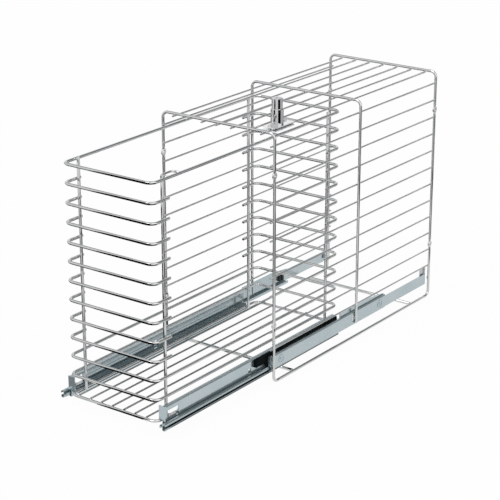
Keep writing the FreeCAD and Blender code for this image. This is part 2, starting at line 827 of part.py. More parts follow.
save("lock_plate", lock_plate(plate_low_z))
save("lock_clamp_plate", lock_plate(clamp_low_z))
save("lock_plate_screws", plate_screws())
save("lock_bushes", lock_bushes())
save("lock_sleeve", lock_sleeve())
save("lock_nut", lock_nut())
save("lock_barrel", lock_barrel())
save("lock_bolt", lock_bolt())
save("lock_core", lock_core())
save("lock_spring", lock_spring())
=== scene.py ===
import math

import bmesh
import bpy
from mathutils import Matrix, Vector


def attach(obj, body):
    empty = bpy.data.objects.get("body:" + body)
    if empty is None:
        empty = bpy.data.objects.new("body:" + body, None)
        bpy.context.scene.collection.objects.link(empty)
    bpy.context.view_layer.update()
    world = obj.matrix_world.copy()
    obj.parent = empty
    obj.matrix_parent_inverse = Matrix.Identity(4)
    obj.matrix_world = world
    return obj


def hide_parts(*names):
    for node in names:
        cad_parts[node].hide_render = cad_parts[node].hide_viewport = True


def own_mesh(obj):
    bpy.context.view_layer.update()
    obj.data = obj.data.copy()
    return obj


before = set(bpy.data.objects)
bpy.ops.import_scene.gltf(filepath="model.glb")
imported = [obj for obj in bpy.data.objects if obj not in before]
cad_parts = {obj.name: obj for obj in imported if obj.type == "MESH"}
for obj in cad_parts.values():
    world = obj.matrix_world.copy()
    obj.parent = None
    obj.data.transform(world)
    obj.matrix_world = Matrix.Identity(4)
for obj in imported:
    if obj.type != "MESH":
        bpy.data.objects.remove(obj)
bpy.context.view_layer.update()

# Camera
# It stands at the photograph's own place, high on the right of the basket's front, with a long lens.
# Both were fitted to the corners of the wire frame in the photograph.
CAMERA_PLACE = (1.6186, -2.2155, 1.1735)
CAMERA_AZIMUTH = 36.45
CAMERA_ELEVATION = 19.97
CAMERA_LENS = 124.17
CAMERA_SENSOR = 36.0
CAMERA_SIGHT = 60.0
camera_data = bpy.data.cameras.new("camera")
camera_data.lens = CAMERA_LENS
camera_data.sensor_width = CAMERA_SENSOR
camera_data.clip_end = CAMERA_SIGHT
camera = bpy.data.objects.new("camera", camera_data)
camera.location = CAMERA_PLACE
camera.rotation_euler = (math.radians(90.0 - CAMERA_ELEVATION), 0.0, math.radians(CAMERA_AZIMUTH))
bpy.context.scene.collection.objects.link(camera)
bpy.context.scene.camera = camera
bpy.context.scene.view_settings.view_transform = "Standard"

# Studio room
# The room is a plain white sweep. Bright metal also needs something dark to show, as in any studio
# for chrome, so for reflections only two soft grey screens hang high up, behind the cage's right,
# for the wires that run back, and above its left, for those that run across.
ROOM_LIGHT = 0.62
WHITE = (1.0, 1.0, 1.0, 1.0)
SCREEN_GREY = (0.24, 0.25, 0.255, 1.0)
# For each screen, where it hangs as seen from the object, and how nearly a reflection has to point
# there to meet its soft rim and its core.
SCREENS = (((0.36, 0.76, 0.54), 0.80, 0.93),
           ((-0.56, 0.41, 0.72), 0.915, 0.975))
world = bpy.data.worlds.new("studio_room")
bpy.context.scene.world = world
world.use_nodes = True
nodes, links = world.node_tree.nodes, world.node_tree.links
nodes.clear()
room_out = nodes.new("ShaderNodeOutputWorld")
room_mix = nodes.new("ShaderNodeMixShader")
room_plain = nodes.new("ShaderNodeBackground")
room_plain.inputs["Strength"].default_value = ROOM_LIGHT
room_seen = nodes.new("ShaderNodeMixShader")
room_white = nodes.new("ShaderNodeBackground")
room_screen = nodes.new("ShaderNodeBackground")
light_path = nodes.new("ShaderNodeLightPath")
seen_any = nodes.new("ShaderNodeMath")
seen_any.operation = "MAXIMUM"
seen_or_through = nodes.new("ShaderNodeMath")
seen_or_through.operation = "MAXIMUM"
direction = nodes.new("ShaderNodeTexCoord")
both_screens = nodes.new("ShaderNodeMath")
both_screens.operation = "MAXIMUM"
for place, (towards, rim, core) in enumerate(SCREENS):
    near_screen = nodes.new("ShaderNodeVectorMath")
    near_screen.operation = "DOT_PRODUCT"
    near_screen.inputs[1].default_value = towards
    screen_edge = nodes.new("ShaderNodeMapRange")
    screen_edge.inputs["From Min"].default_value = rim
    screen_edge.inputs["From Max"].default_value = core
    links.new(direction.outputs["Generated"], near_screen.inputs[0])
    links.new(near_screen.outputs["Value"], screen_edge.inputs["Value"])
    links.new(screen_edge.outputs["Result"], both_screens.inputs[place])
screen_ramp = nodes.new("ShaderNodeValToRGB")
screen_ramp.color_ramp.elements[0].color = WHITE
screen_ramp.color_ramp.elements[1].color = SCREEN_GREY
links.new(both_screens.outputs["Value"], screen_ramp.inputs["Fac"])
links.new(screen_ramp.outputs["Color"], room_screen.inputs["Color"])
links.new(light_path.outputs["Is Camera Ray"], seen_or_through.inputs[0])
links.new(light_path.outputs["Is Transmission Ray"], seen_or_through.inputs[1])
links.new(seen_or_through.outputs["Value"], seen_any.inputs[0])
links.new(light_path.outputs["Is Glossy Ray"], seen_any.inputs[1])
links.new(light_path.outputs["Is Glossy Ray"], room_seen.inputs["Fac"])
links.new(room_white.outputs["Background"], room_seen.inputs[1])
links.new(room_screen.outputs["Background"], room_seen.inputs[2])
links.new(seen_any.outputs["Value"], room_mix.inputs["Fac"])
links.new(room_plain.outputs["Background"], room_mix.inputs[1])
links.new(room_seen.outputs["Shader"], room_mix.inputs[2])
links.new(room_mix.outputs["Shader"], room_out.inputs["Surface"])
room_white.inputs["Color"].default_value = WHITE
room_white.inputs["Strength"].default_value = 1.0

# Lamps
# Two wide soft lamps, a key from above the camera's left and a weaker one from its right. Their
# spread, in degrees, keeps the shadows soft.
for lamp_name, strength, spread, turn in (("key_lamp", 1.15, 35.0, (38.0, -18.0, 10.0)),
                                          ("fill_lamp", 0.45, 60.0, (50.0, 30.0, 60.0))):
    lamp_data = bpy.data.lights.new(lamp_name, "SUN")
    lamp_data.energy = strength
    lamp_data.angle = math.radians(spread)
    lamp = bpy.data.objects.new(lamp_name, lamp_data)
    lamp.rotation_euler = [math.radians(angle) for angle in turn]
    bpy.context.scene.collection.objects.link(lamp)

# Floor
# A sheet of pale paper. The camera and the metal see it as almost white, because most of what they
# see of it glows. The rest is matt and takes the object's faint shadow.
FLOOR_HALF = 12.0
FLOOR_WHITENESS = 0.96
PAPER_GREY = (0.90, 0.90, 0.90, 1.0)
floor_mesh = bpy.data.meshes.new("studio_floor")
floor_corners = [(-FLOOR_HALF, -FLOOR_HALF, 0.0), (FLOOR_HALF, -FLOOR_HALF, 0.0),
                 (FLOOR_HALF, FLOOR_HALF, 0.0), (-FLOOR_HALF, FLOOR_HALF, 0.0)]
floor_mesh.from_pydata(floor_corners, [], [(0, 1, 2, 3)])
floor = bpy.data.objects.new("studio_floor", floor_mesh)
bpy.context.scene.collection.objects.link(floor)
floor_paper = bpy.data.materials.new("floor_paper")
floor_paper.use_nodes = True
nodes, links = floor_paper.node_tree.nodes, floor_paper.node_tree.links
nodes.clear()
paper_out = nodes.new("ShaderNodeOutputMaterial")
paper_mix = nodes.new("ShaderNodeMixShader")
paper_matt = nodes.new("ShaderNodeBsdfDiffuse")
paper_matt.inputs["Color"].default_value = PAPER_GREY
paper_white = nodes.new("ShaderNodeEmission")
light_path = nodes.new("ShaderNodeLightPath")
paper_seen = nodes.new("ShaderNodeMath")
paper_seen.operation = "MAXIMUM"
paper_share = nodes.new("ShaderNodeMath")
paper_share.operation = "MULTIPLY"
paper_share.inputs[1].default_value = FLOOR_WHITENESS
links.new(light_path.outputs["Is Camera Ray"], paper_seen.inputs[0])
links.new(light_path.outputs["Is Glossy Ray"], paper_seen.inputs[1])
links.new(paper_seen.outputs["Value"], paper_share.inputs[0])
links.new(paper_share.outputs["Value"], paper_mix.inputs["Fac"])
links.new(paper_matt.outputs["BSDF"], paper_mix.inputs[1])
links.new(paper_white.outputs["Emission"], paper_mix.inputs[2])
links.new(paper_mix.outputs["Shader"], paper_out.inputs["Surface"])
floor_mesh.materials.append(floor_paper)

# Studio cards
# Black and grey cards lie on the floor, out of the camera's sight: only bright metal shows them,
# as the dark lines that make chrome look like chrome. Fans lie to the camera's sides and behind the
# object, and oblong ones beside, before and under it.
CARD_LIFT = 0.0006
CARD_COOLNESS = 1.04


def studio_card(name, shade, *outlines):
    """A card that only reflections see, on the floor or through given places; shade 1 glows white."""
    paint = bpy.data.materials.new(name + "_paint")
    paint.use_nodes = True
    nodes, links = paint.node_tree.nodes, paint.node_tree.links
    nodes.clear()
    card_out = nodes.new("ShaderNodeOutputMaterial")
    if shade == 1.0:
        card_white = nodes.new("ShaderNodeEmission")
        links.new(card_white.outputs["Emission"], card_out.inputs["Surface"])
    else:
        card_matt = nodes.new("ShaderNodeBsdfDiffuse")
        card_matt.inputs["Color"].default_value = (shade, shade, shade * CARD_COOLNESS, 1.0)
        links.new(card_matt.outputs["BSDF"], card_out.inputs["Surface"])
    mesh = bpy.data.meshes.new(name)
    places, faces = [], []
    for outline in outlines:
        faces.append([len(places) + i for i in range(len(outline))])
        places += [corner if len(corner) == 3 else (*corner, CARD_LIFT) for corner in outline]
    mesh.from_pydata(places, [], faces)
    mesh.materials.append(paint)
    card = bpy.data.objects.new(name, mesh)
    bpy.context.scene.collection.objects.link(card)
    card.visible_camera = False
    card.visible_diffuse = False
    card.visible_transmission = False
    card.visible_shadow = False


def fan(start, stop, near, far):
    """Corners of a fan-shaped card between two bearings, in degrees right of the camera."""
    steps = 6
    bearings = [math.radians(CAMERA_AZIMUTH + start + (stop - start) * i / steps)
                for i in range(steps + 1)]
    outer = [(far * math.sin(b), -far * math.cos(b)) for b in bearings]
    inner = [(near * math.sin(b), -near * math.cos(b)) for b in reversed(bearings)]
    return outer + inner


for name, shade, start, stop, near, far in (("card_far_right", 0.005, 15.0, 61.0, 1.10, 5.0),
                                            ("card_further_right", 0.75, 61.0, 150.0, 1.10, 5.0),
                                            ("card_far_left", 0.005, -62.0, -34.0, 1.10, 5.0),
                                            ("card_behind_right", 0.02, 152.0, 176.0, 1.10, 5.0),
                                            ("card_behind_left", 0.02, 204.0, 244.0, 1.10, 5.0),
                                            ("card_near_right", 0.08, 16.0, 100.0, 0.60, 1.10),
                                            ("card_near_left", 0.15, -115.0, -40.0, 0.56, 1.10),
                                            ("card_close_right", 0.05, 62.0, 98.0, 0.29, 0.60),
                                            ("card_close_left", 0.05, -100.0, -66.0, 0.29, 0.56)):
    studio_card(name, shade, fan(start, stop, near, far))
for name, shade, left, right, front, back in (("card_beside", 0.01, -0.55, -0.14, -0.30, 0.25),
                                              ("card_before", 0.30, -0.19, -0.11, -0.53, -0.42),
                                              ("card_under", 0.20, 0.0, 0.045, -0.37, 0.10),
                                              ("card_by_left_rail", 0.01, -0.031, -0.023, -0.37, 0.25)):
    studio_card(name, shade, [(left, front), (right, front), (right, back), (left, back)])

# Front and rear hoops of the cage
# Each is one length of 5 mm steel wire, bent cold round 10 mm tools and turned inward at the feet.
# Flat eyes for the screws into the cabinet are pressed into the legs, then all is nickel and
# chrome plated.
FRONT_HOOP_Y = -111.0
BOTTOM_ROD_Z = 2.5
MM = 0.001
CAGE_HALF = 112.4
CAGE_TOP = 423.4
CAGE_DEPTH = 490.0
FRAME_RADIUS = 2.5
CAGE_BEND = 10.0
HOOP_FOOT = 16.0
EYE_HEIGHTS = (99.9, 354.3)
EYE_RADIUS = 6.0
EYE_HOLE = 2.3
EYE_HALF_THICK = 1.3
EYE_EDGE = 0.35
EYE_STEPS = 40
LEG_STOP = 4.7
# Towards an eye the wire is pressed flat over these lengths. A cut end has a broken edge, a quarter
# of a circle that is drawn at these angles, the end face first.
FLAT_STATIONS = (0.0, 2.0, 4.0, 6.0)
FLAT_WIDENING = 1.3
FLAT_SINK = 0.05
CUT_EDGE = 0.4
CUT_TURNS = (1.57, 0.8, 0.0)
BEND_STEPS = 8
RUNS_ACROSS = 0.7
SHARP_ANGLE = 40.0


def at(x, y, z):
    """A place in the frame, from millimetres across, behind the front hoop and above the bottom rods."""
    return Vector((x, y + FRONT_HOOP_Y, z + BOTTOM_ROD_Z)) * MM


def finish(name, colours, roughness, metallic=1.0, cloud=18.0, grain=900.0, stretch=(1.0, 1.0, 1.0),
           grain_depth=0.02, shine=0.5):
    """A surface whose colour and gloss drift over the piece, with a fine grain."""
    cloud_edges = (0.35, 0.65)
    grain_height = 0.0004
    material = bpy.data.materials.new(name)
    material.use_nodes = True
    nodes, links = material.node_tree.nodes, material.node_tree.links
    shader = nodes["Principled BSDF"]
    shader.inputs["Metallic"].default_value = metallic
    shader.inputs["Specular IOR Level"].default_value = shine
    place = nodes.new("ShaderNodeTexCoord")
    stretched = nodes.new("ShaderNodeMapping")
    stretched.inputs["Scale"].default_value = stretch
    drift = nodes.new("ShaderNodeTexNoise")
    drift.inputs["Scale"].default_value = cloud
    drift.inputs["Detail"].default_value = 3.0
    tint = nodes.new("ShaderNodeValToRGB")
    for stop, edge, colour in zip(tint.color_ramp.elements, cloud_edges, colours):
        stop.position = edge
        stop.color = (*colour, 1.0)
    gloss = nodes.new("ShaderNodeMapRange")
    gloss.inputs["To Min"].default_value = roughness[0]
    gloss.inputs["To Max"].default_value = roughness[1]
    fine = nodes.new("ShaderNodeTexNoise")
    fine.inputs["Scale"].default_value = grain
    fine.inputs["Detail"].default_value = 2.0
    bump = nodes.new("ShaderNodeBump")
    bump.inputs["Strength"].default_value = grain_depth
    bump.inputs["Distance"].default_value = grain_height
    links.new(place.outputs["Object"], drift.inputs["Vector"])
    links.new(place.outputs["Object"], stretched.inputs["Vector"])
    links.new(stretched.outputs["Vector"], fine.inputs["Vector"])
    links.new(drift.outputs["Fac"], tint.inputs["Fac"])
    links.new(fine.outputs["Fac"], gloss.inputs["Value"])
    links.new(fine.outputs["Fac"], bump.inputs["Height"])
    links.new(tint.outputs["Color"], shader.inputs["Base Color"])
    links.new(gloss.outputs["Result"], shader.inputs["Roughness"])
    links.new(bump.outputs["Normal"], shader.inputs["Normal"])
    return material


def middle_line(corners, bend, closed):
    """Places and directions along a wire: straight runs with a round bend at each corner."""
    count = len(corners)
    line = []
    for i, corner in enumerate(corners):
        if not closed and i in (0, count - 1):
            run = (corners[1] - corners[0]) if i == 0 else (corners[-1] - corners[-2])
            line.append((corner, run.normalized()))
            continue
        before = (corner - corners[i - 1]).normalized()
        after = (corners[(i + 1) % count] - corner).normalized()
        turn = before.angle(after)
        enter = corner - before * bend * math.tan(turn / 2.0)
        centre = enter + (after - before * before.dot(after)).normalized() * bend
        axis = before.cross(after)
        for step in range(BEND_STEPS + 1):
            swing = Matrix.Rotation(turn * step / BEND_STEPS, 3, axis)
            line.append((centre + swing @ (enter - centre), swing @ before))
    return line


def wire_end(tip, inward, heading, flat):
    """Stations from a wire's tip inward: pressed flat towards an eye, or cut with a broken edge."""
    if flat:
        return [(tip + inward * run, heading, True, 1.0 - run / FLAT_STATIONS[-1])
                for run in FLAT_STATIONS]
    return [(tip + inward * CUT_EDGE * (1.0 - math.sin(turn)), heading, False, turn)
            for turn in CUT_TURNS]


def draw_skin(mesh, rings, looped):
    """Faces from ring to ring, and back to the first ring or over the two ends."""
    pairs = list(zip(rings, rings[1:])) + ([(rings[-1], rings[0])] if looped else [])
    for here, there in pairs:
        for k in range(len(here)):
            following = (k + 1) % len(here)
            mesh.faces.new((here[k], here[following], there[following], there[k]))
    if not looped:
        mesh.faces.new(list(reversed(rings[0])))
        mesh.faces.new(rings[-1])


def draw_wire(mesh, corners, radius, bend=0.0, closed=False, sides=16, flat_ends=(False, False)):
    """A bent wire; an end is cut square with a broken edge, or pressed flat towards an eye."""
    corners = [Vector(corner) for corner in corners]
    line = [(place, heading, None, 0.0) for place, heading in middle_line(corners, bend, closed)]
    if not closed:
        first, towards = line[0][:2]
        last, onward = line[-1][:2]
        tail = wire_end(last, -onward, onward, flat_ends[1])
        line = wire_end(first, towards, towards, flat_ends[0]) + line[1:-1] + tail[::-1]
    rings = []
    along = line[0][1]
    side = Vector((1, 0, 0)) if abs(along.x) < RUNS_ACROSS else Vector((0, 0, 1))
    for place, heading, pressed, share in line:
        side = along.rotation_difference(heading) @ side
        side = (side - heading * side.dot(heading)).normalized()
        along = heading
        other = heading.cross(side)
        if pressed is None:
            wide, thick = radius, radius
        elif pressed:
            soft = share * share * (3.0 - 2.0 * share)
            wide = radius + soft * FLAT_WIDENING
            thick = radius - soft * (radius - EYE_HALF_THICK + FLAT_SINK)
        else:
            wide = thick = radius - CUT_EDGE * (1.0 - math.cos(share))
        ring = []
        for k in range(sides):
            angle = 2.0 * math.pi * k / sides
            ring.append(mesh.verts.new(at(*(place + side * thick * math.cos(angle)
                                            + other * wide * math.sin(angle)))))
        rings.append(ring)
    draw_skin(mesh, rings, closed)


def draw_eye(mesh, outline, place):
    """A flat eye: its outline, (radius, height) pairs, is swung round an axis across the cage."""
    place, axis = Vector(place), Vector((1, 0, 0))
    side = axis.orthogonal().normalized()
    other = axis.cross(side)
    turns = [2.0 * math.pi * k / EYE_STEPS for k in range(EYE_STEPS)]
    rings = []
    for radius, height in outline:
        rings.append([mesh.verts.new(at(*(place + axis * height + side * radius * math.cos(angle)
                                          + other * radius * math.sin(angle))))
                      for angle in turns])
    draw_skin(mesh, rings, True)


def made(name, mesh, material):
    """The finished piece as an object, smooth but for its creases."""
    bmesh.ops.recalc_face_normals(mesh, faces=mesh.faces)
    data = bpy.data.meshes.new(name)
    mesh.to_mesh(data)
    mesh.free()
    data.materials.append(material)
    data.polygons.foreach_set("use_smooth", [True] * len(data.polygons))
    data.set_sharp_from_angle(angle=math.radians(SHARP_ANGLE))
    piece = bpy.data.objects.new(name, data)
    bpy.context.scene.collection.objects.link(piece)
    return piece


chrome = finish("chromed_wire_finish", ((0.52, 0.535, 0.54), (0.60, 0.605, 0.60)), (0.04, 0.09),
                cloud=26.0, grain=1400.0, grain_depth=0.03)


def draw_hoop(mesh, y, inward):
    """Top bar, two legs broken by their eyes, and the feet."""
    x, low, high = CAGE_HALF, EYE_HEIGHTS[0], EYE_HEIGHTS[1]
    foot = y + inward * HOOP_FOOT
    for side in (-x, x):
        draw_wire(mesh, [(side, foot, 0), (side, y, 0), (side, y, low - LEG_STOP)],
                  FRAME_RADIUS, CAGE_BEND, flat_ends=(False, True))
        draw_wire(mesh, [(side, y, low + LEG_STOP), (side, y, high - LEG_STOP)],
                  FRAME_RADIUS, flat_ends=(True, True))
    draw_wire(mesh, [(-x, y, high + LEG_STOP), (-x, y, CAGE_TOP),
                     (x, y, CAGE_TOP), (x, y, high + LEG_STOP)],
              FRAME_RADIUS, CAGE_BEND, flat_ends=(True, True))
    outer_edge = 2.0 * EYE_EDGE
    rim = [(EYE_HOLE, -EYE_HALF_THICK + EYE_EDGE), (EYE_HOLE + EYE_EDGE, -EYE_HALF_THICK),
           (EYE_RADIUS - outer_edge, -EYE_HALF_THICK), (EYE_RADIUS, -EYE_HALF_THICK + outer_edge),
           (EYE_RADIUS, EYE_HALF_THICK - outer_edge), (EYE_RADIUS - outer_edge, EYE_HALF_THICK),
           (EYE_HOLE + EYE_EDGE, EYE_HALF_THICK), (EYE_HOLE, EYE_HALF_THICK - EYE_EDGE)]
    for side in (-x, x):
        for z in EYE_HEIGHTS:
            draw_eye(mesh, rim, (side, y, z))


for node, y, inward in (("cage_front_hoop", 0.0, 1.0), ("cage_rear_hoop", CAGE_DEPTH, -1.0)):
    mesh = bmesh.new()
    draw_hoop(mesh, y, inward)
    hoop = made(node + "_wire", mesh, chrome)
    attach(hoop, "cage")
    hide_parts(node)

# Middle hoop of the cage
# The same 5 mm chromed wire, bent to three sides. Its legs are cut off short and welded to the
# outside of the cabinet rails.
MIDDLE_HOOP_Y = 245.6
MIDDLE_LEG_FOOT = 24.0
mesh = bmesh.new()
draw_wire(mesh, [(-CAGE_HALF, MIDDLE_HOOP_Y, MIDDLE_LEG_FOOT), (-CAGE_HALF, MIDDLE_HOOP_Y, CAGE_TOP),
                 (CAGE_HALF, MIDDLE_HOOP_Y, CAGE_TOP), (CAGE_HALF, MIDDLE_HOOP_Y, MIDDLE_LEG_FOOT)],
          FRAME_RADIUS, CAGE_BEND)
hoop = made("cage_middle_hoop_wire", mesh, chrome)
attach(hoop, "cage")
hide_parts("cage_middle_hoop")

# Bottom rods and cross rods of the cage
# Straight 5 mm rods butt-welded to the feet of the hoops, and two 5.6 mm rods across between them
# that keep the sides parallel. The butt welds are ground level before plating.
CROSS_RADIUS = 2.8
CROSS_ROD_Z = 0.3
CROSS_ROD_YS = (57.0, 430.0)
CROSS_ROD_GAP = 0.05
CROSS_ROD_HALF = CAGE_HALF - FRAME_RADIUS - CROSS_ROD_GAP
mesh = bmesh.new()
for side in (-CAGE_HALF, CAGE_HALF):
    draw_wire(mesh, [(side, HOOP_FOOT, 0), (side, CAGE_DEPTH - HOOP_FOOT, 0)], FRAME_RADIUS)
rods = made("cage_bottom_rod_wires", mesh, chrome)
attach(rods, "cage")
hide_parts("cage_bottom_rods")
mesh = bmesh.new()
for y in CROSS_ROD_YS:
    draw_wire(mesh, [(-CROSS_ROD_HALF, y, CROSS_ROD_Z), (CROSS_ROD_HALF, y, CROSS_ROD_Z)], CROSS_RADIUS)
rods = made("cage_cross_rod_wires", mesh, chrome)
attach(rods, "cage")
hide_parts("cage_cross_rods")

# Top and side wires of the cage
# Straightened 3 mm wire, cropped to length and resistance-welded to the inside of the hoops:
# seven along the top and twelve along each side. The front ends stand 3 mm proud.
THIN_RADIUS = 1.5
THIN_SIDES = 12
THIN_START = -5.5
THIN_END = 492.5
TOP_WIRE_Z = 419.35
TOP_WIRE_COUNT = 7
TOP_WIRE_FIRST = -88.5
TOP_WIRE_PITCH = 29.5
TOP_WIRE_XS = [TOP_WIRE_FIRST + TOP_WIRE_PITCH * i for i in range(TOP_WIRE_COUNT)]
SIDE_WIRE_X = 108.35
SIDE_WIRE_COUNT = 12
SIDE_WIRE_HIGHEST = 402.0
SIDE_WIRE_PITCH = 31.409
SIDE_WIRE_ZS = [SIDE_WIRE_HIGHEST - SIDE_WIRE_PITCH * i for i in range(SIDE_WIRE_COUNT)]
mesh = bmesh.new()
for x in TOP_WIRE_XS:
    draw_wire(mesh, [(x, THIN_START, TOP_WIRE_Z), (x, THIN_END, TOP_WIRE_Z)],
              THIN_RADIUS, sides=THIN_SIDES)
wires = made("cage_top_thin_wires", mesh, chrome)
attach(wires, "cage")
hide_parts("cage_top_wires")
for node, x in (("cage_left_side_wires", -SIDE_WIRE_X), ("cage_right_side_wires", SIDE_WIRE_X)):
    mesh = bmesh.new()
    for z in SIDE_WIRE_ZS:
        draw_wire(mesh, [(x, THIN_START, z), (x, THIN_END, z)], THIN_RADIUS, sides=THIN_SIDES)
    wires = made(node.replace("side_wires", "side_thin_wires"), mesh, chrome)
    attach(wires, "cage")
    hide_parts(node)

# Welds of the cage
# Where two wires cross, the spot-welder melts a small smooth nugget of their steel between them, and
# the plating covers it. Longer ones hold the legs of the hoops to the cabinet rails.
HOOP_YS = (0.0, MIDDLE_HOOP_Y, CAGE_DEPTH)
TOP_WELD = (1.5, 1.8, 0.75)
SIDE_WELD = (0.75, 1.8, 1.5)
ROD_WELD = (1.3, 3.3, 2.5)
ROD_WELD_Z = 0.1
RAIL_WELD = (0.7, 2.0, 4.0)
RAIL_WELD_Z = 33.0


def draw_weld(mesh, place, reach):
    """A smooth nugget of melted wire; it reaches this far from its middle along x, y and z."""
    shape = Matrix.Translation(at(*place)) @ Matrix.Diagonal((*(half * MM for half in reach), 1.0))
    bmesh.ops.create_icosphere(mesh, subdivisions=2, radius=1.0, matrix=shape)


mesh = bmesh.new()
for y in HOOP_YS:
    for x in TOP_WIRE_XS:
        draw_weld(mesh, (x, y, TOP_WIRE_Z + THIN_RADIUS), TOP_WELD)
    for side in (-1.0, 1.0):
        for z in SIDE_WIRE_ZS:
            draw_weld(mesh, (side * (SIDE_WIRE_X + THIN_RADIUS), y, z), SIDE_WELD)
for side in (-1.0, 1.0):
    for y in CROSS_ROD_YS:
        draw_weld(mesh, (side * (CAGE_HALF - FRAME_RADIUS), y, ROD_WELD_Z), ROD_WELD)
    for y in HOOP_YS:
        draw_weld(mesh, (side * (CAGE_HALF - FRAME_RADIUS), y, RAIL_WELD_Z), RAIL_WELD)
welds = made("cage_welds", mesh, chrome)
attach(welds, "cage")

# Rings of the basket
# Four closed rings of 5 mm wire with 12 mm corners: the top rail, a lower ring, the carrying ring
# and the bottom frame that sits on the slides. Each is butt-welded shut at the back.
BASKET_HALF = 87.0
BASKET_FRONT = -271.4
BASKET_REAR = 223.2
BASKET_BEND = 12.0
BASKET_TOP = 406.4
BASKET_FLOOR = 24.3
LEVEL_PITCH = 31.57
END_WIRE_COUNT = 9
RINGS = (("basket_top_ring", BASKET_TOP),
         ("basket_lower_ring", BASKET_TOP - (END_WIRE_COUNT + 1) * LEVEL_PITCH),
         ("basket_carrying_ring", BASKET_TOP - (END_WIRE_COUNT + 2) * LEVEL_PITCH),
         ("basket_bottom_frame", BASKET_FLOOR))
for node, z in RINGS:
    mesh = bmesh.new()
    draw_wire(mesh, [(-BASKET_HALF, BASKET_FRONT, z), (BASKET_HALF, BASKET_FRONT, z),
                     (BASKET_HALF, BASKET_REAR, z), (-BASKET_HALF, BASKET_REAR, z)],
              FRAME_RADIUS, BASKET_BEND, closed=True)
    ring = made(node + "_wire", mesh, chrome)
    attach(ring, "basket")
    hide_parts(node)

# End wires of the basket
# Nine U-shaped wires at each end, bent from the same 5 mm wire and cropped just past the uprights,
# so that the sides stay open for reaching in.
END_TIP = 39.0
END_LEVELS = [BASKET_TOP - LEVEL_PITCH * i for i in range(1, END_WIRE_COUNT + 1)]
for node, y, inward in (("basket_front_wires", BASKET_FRONT, 1.0),
                        ("basket_rear_wires", BASKET_REAR, -1.0)):
    mesh = bmesh.new()
    tip = y + inward * END_TIP
    for z in END_LEVELS:
        draw_wire(mesh, [(-BASKET_HALF, tip, z), (-BASKET_HALF, y, z), (BASKET_HALF, y, z),
                         (BASKET_HALF, tip, z)], FRAME_RADIUS, BASKET_BEND)
    wires = made(node.replace("wires", "u_wires"), mesh, chrome)
    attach(wires, "basket")
    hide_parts(node)

# Cards under the front wires
# Narrow folded cards, black inside and white outside, that only reflections see. They give the right
# half of the front wires the black lower edge of polished chrome, wider towards the corner.
WIRE_LEVELS = END_LEVELS + [level for ring, level in RINGS]
CARD_DROP = 4.0
CARD_THICKNESS = 0.4
CARD_LEFT = -34.0
CARD_RIGHT = 92.0
LOW_CARD_RIGHT = 60.0
# At its left end and at its right: how far behind the wire a card starts, how far before the wire it
# is folded up, and how far before the wire its lip ends.
CARD_BEHIND = (2.0, 10.0)
CARD_FOLD = (4.0, 18.0)
CARD_LIP = (5.0, 22.0)
LEFT_LIP_OVER_CARD = 1.2
RIGHT_LIP_OVER_WIRE = 24.0
black_folds, white_folds = [], []
for z in WIRE_LEVELS:
    right = LOW_CARD_RIGHT if z == BASKET_FLOOR else CARD_RIGHT
    for folds, outside in ((black_folds, 0.0), (white_folds, CARD_THICKNESS)):
        low, front = z - CARD_DROP - outside, BASKET_FRONT - outside
        back_edge = [at(CARD_LEFT, front + CARD_BEHIND[0], low), at(right, front + CARD_BEHIND[1], low)]
        fold = [at(CARD_LEFT, front - CARD_FOLD[0], low), at(right, front - CARD_FOLD[1], low)]
        lip = [at(CARD_LEFT, front - CARD_LIP[0], low + LEFT_LIP_OVER_CARD),
               at(right, front - CARD_LIP[1], z + RIGHT_LIP_OVER_WIRE)]
        folds += [back_edge + fold[::-1], fold + lip[::-1]]
studio_card("cards_under_front_wires", 0.004, *black_folds)
studio_card("card_backs_under_front_wires", 1.0, *white_folds)

# Uprights and floor wires of the basket
# Four 5 mm uprights carry the end wires on their outside. Seven 3 mm wires lie along the bottom
# frame and make the basket's floor; drawn harder and plated thinner, they are rougher. Their darker
# colour is painted shade, for the shade they lie in at the bottom of the basket.
UPRIGHT_X = 81.95
UPRIGHT_INSET = 30.0
UPRIGHT_YS = (BASKET_FRONT + UPRIGHT_INSET, BASKET_REAR - UPRIGHT_INSET)
UPRIGHT_LOW = 21.8
UPRIGHT_HIGH = 410.9
FLOOR_WIRE_Z = 28.35
FLOOR_WIRE_COUNT = 7
FLOOR_WIRE_FIRST = -68.4
FLOOR_WIRE_PITCH = 22.8
FLOOR_WIRE_PAST_FRAME = 1.0
FLOOR_WIRE_XS = [FLOOR_WIRE_FIRST + FLOOR_WIRE_PITCH * i for i in range(FLOOR_WIRE_COUNT)]
mesh = bmesh.new()
for x in (-UPRIGHT_X, UPRIGHT_X):
    for y in UPRIGHT_YS:
        draw_wire(mesh, [(x, y, UPRIGHT_LOW), (x, y, UPRIGHT_HIGH)], FRAME_RADIUS)
uprights = made("basket_upright_wires", mesh, chrome)
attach(uprights, "basket")
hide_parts("basket_uprights")
mesh = bmesh.new()
for x in FLOOR_WIRE_XS:
    draw_wire(mesh, [(x, BASKET_FRONT - FLOOR_WIRE_PAST_FRAME, FLOOR_WIRE_Z),
                     (x, BASKET_REAR + FLOOR_WIRE_PAST_FRAME, FLOOR_WIRE_Z)],
              THIN_RADIUS, sides=THIN_SIDES)
# A darker chrome colour for the floor wires: painted shade from the bottom of the basket.
shade_darkened_chrome = finish("dull_chrome_finish", ((0.27, 0.285, 0.29), (0.34, 0.35, 0.35)), (0.10, 0.18),
                     cloud=26.0, grain=1400.0, grain_depth=0.03)
wires = made("basket_floor_thin_wires", mesh, shade_darkened_chrome)
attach(wires, "basket")
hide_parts("basket_floor_wires")

